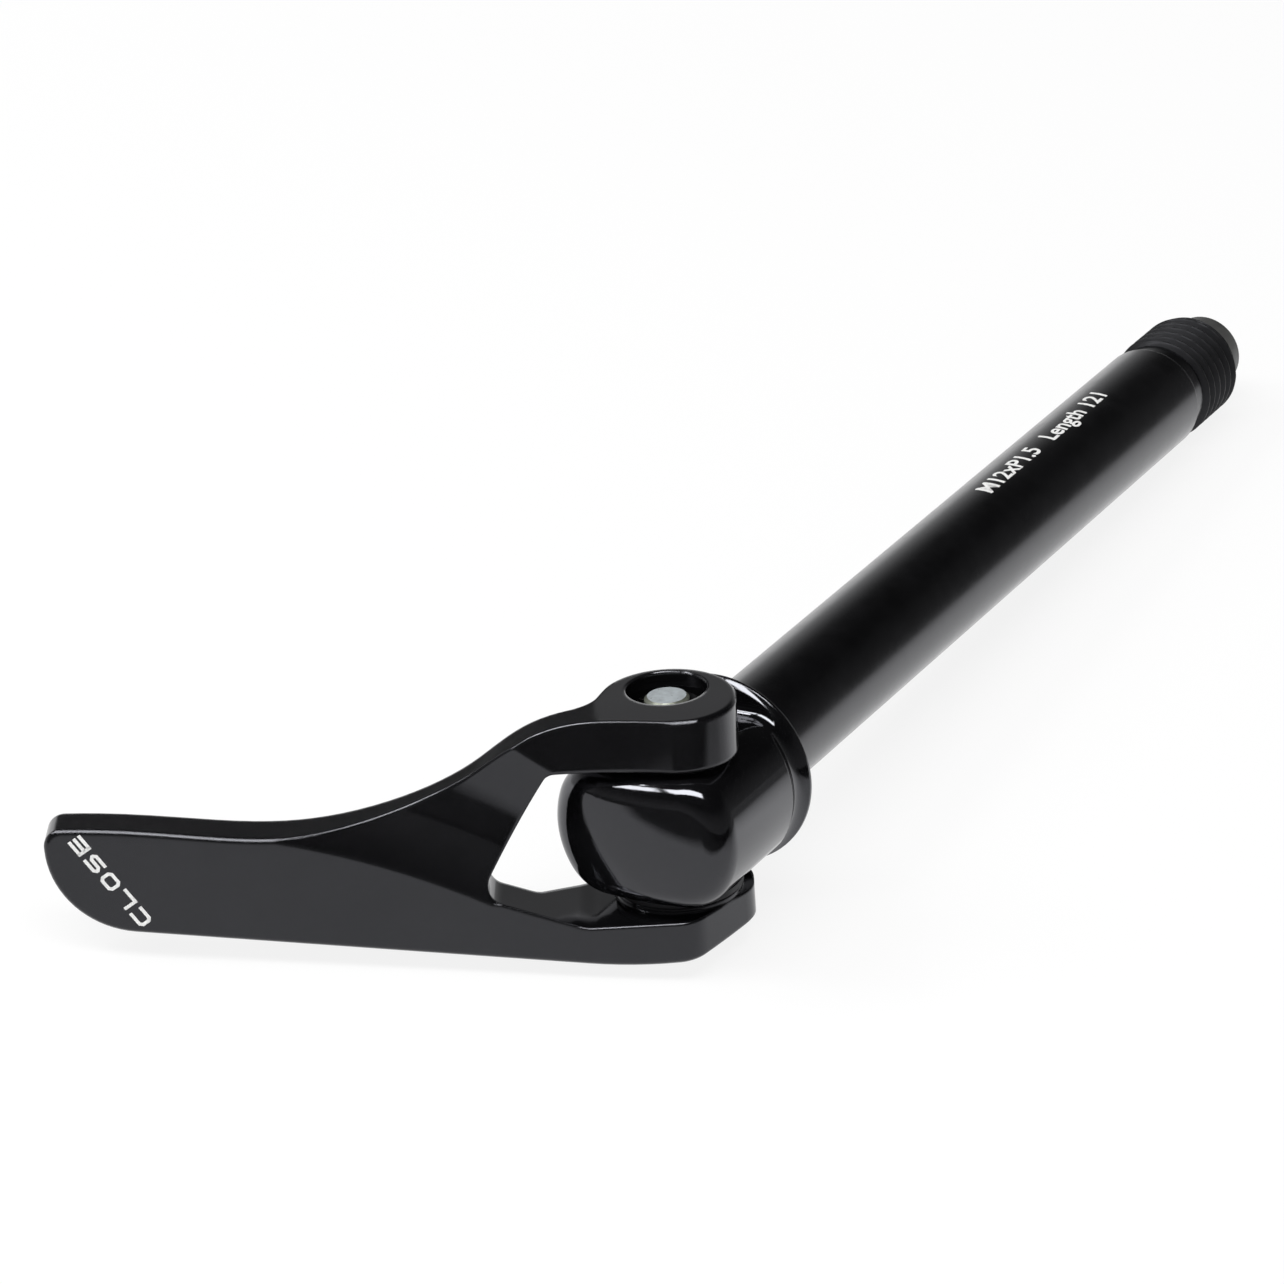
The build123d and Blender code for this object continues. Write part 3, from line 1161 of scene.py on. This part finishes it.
        bench.join(bench.math("MAXIMUM", clear, paths["Is Glossy Ray"]), mix.inputs["Fac"])
        bench.join(shade.outputs[0], mix.inputs[1])
        bench.join(glow.outputs[0], mix.inputs[2])
        bench.join(mix.outputs[0], bench.tree.nodes["Material Output"].inputs["Surface"])
        bench.tree.nodes.remove(bench.shader)
        return bench.material

    def build_world(self) -> None:
        """Makes the room: white to the eye, a fill on the camera's side, dim in reflections."""
        world = bpy.data.worlds.new("studio_room")
        bpy.context.scene.world = world
        world.use_nodes = True
        tree = world.node_tree
        background = tree.nodes["Background"]
        background.inputs["Color"].default_value = (1, 1, 1, 1)
        direction = tree.nodes.new("ShaderNodeTexCoord").outputs["Generated"]
        ahead = self.towards_camera()
        upright = Vector((0, 0, 1))
        bright = Vector(self.room_bright_side)
        aside = self.share_of(tree, direction, ahead, self.room_fill_leans, self.room_fill)
        height = self.share_of(tree, direction, upright, self.room_heights, self.room_mirrored)
        far = self.share_of(tree, direction, bright, self.room_bright_leans, self.room_bright_shares)
        dim = tree.nodes.new("ShaderNodeMath")
        dim.operation = "MULTIPLY"
        tree.links.new(height, dim.inputs[0])
        tree.links.new(far, dim.inputs[1])
        paths = tree.nodes.new("ShaderNodeLightPath")
        mirrored = tree.nodes.new("ShaderNodeMix")
        tree.links.new(paths.outputs["Is Glossy Ray"], mirrored.inputs["Factor"])
        tree.links.new(aside, mirrored.inputs["A"])
        tree.links.new(dim.outputs[0], mirrored.inputs["B"])
        level = tree.nodes.new("ShaderNodeMix")
        tree.links.new(paths.outputs["Is Camera Ray"], level.inputs["Factor"])
        tree.links.new(mirrored.outputs["Result"], level.inputs["A"])
        level.inputs["B"].default_value = 1.0
        tree.links.new(level.outputs["Result"], background.inputs["Strength"])

    @staticmethod
    def share_of(
        tree: bpy.types.NodeTree,
        direction: bpy.types.NodeSocket,
        axis: Vector,
        span: tuple[float, float],
        levels: tuple[float, float],
    ) -> bpy.types.NodeSocket:
        """Grades a level by how far a direction leans to an axis.

        Args:
            tree: The world's nodes.
            direction: The direction that is graded.
            axis: The axis it is held against.
            span: The two leans, from -1 to 1, between which the level changes.
            levels: The levels at those leans.

        Returns:
            The level.
        """
        dot = tree.nodes.new("ShaderNodeVectorMath")
        dot.operation = "DOT_PRODUCT"
        tree.links.new(direction, dot.inputs[0])
        dot.inputs[1].default_value = axis
        grade = tree.nodes.new("ShaderNodeMapRange")
        tree.links.new(dot.outputs["Value"], grade.inputs["Value"])
        grade.inputs["From Min"].default_value = span[0]
        grade.inputs["From Max"].default_value = span[1]
        grade.inputs["To Min"].default_value = levels[0]
        grade.inputs["To Max"].default_value = levels[1]
        return grade.outputs["Result"]

    def build_lights(self) -> None:
        """Hangs the softboxes."""
        for softbox in self.softboxes:
            softbox.hang()

    def build_camera(self) -> None:
        """Stands the camera where the part is seen as it lies."""
        right = Vector(self.camera_right)
        up = -Vector(self.camera_down)
        back = right.cross(up)
        stand = Matrix.Identity(4)
        for row in range(3):
            stand[row] = (right[row], up[row], back[row], self.camera_place[row])
        lens = bpy.data.cameras.new("camera")
        lens.lens = self.lens
        lens.sensor_width = self.sensor
        lens.sensor_fit = "HORIZONTAL"
        lens.clip_start = self.near_clip
        camera = bpy.data.objects.new("camera", lens)
        camera.matrix_world = LIE_ROLL @ stand
        bpy.context.scene.collection.objects.link(camera)
        bpy.context.scene.camera = camera


def main() -> None:
    """Builds the sub-assemblies in order."""
    logging.basicConfig(level=logging.INFO, format="%(name)s: %(message)s")
    lettering = Lettering()
    AxleShaft().build(lettering)
    Head().build()
    Lever().build(lettering)
    Studio().build()


if __name__ == "__main__":
    main()
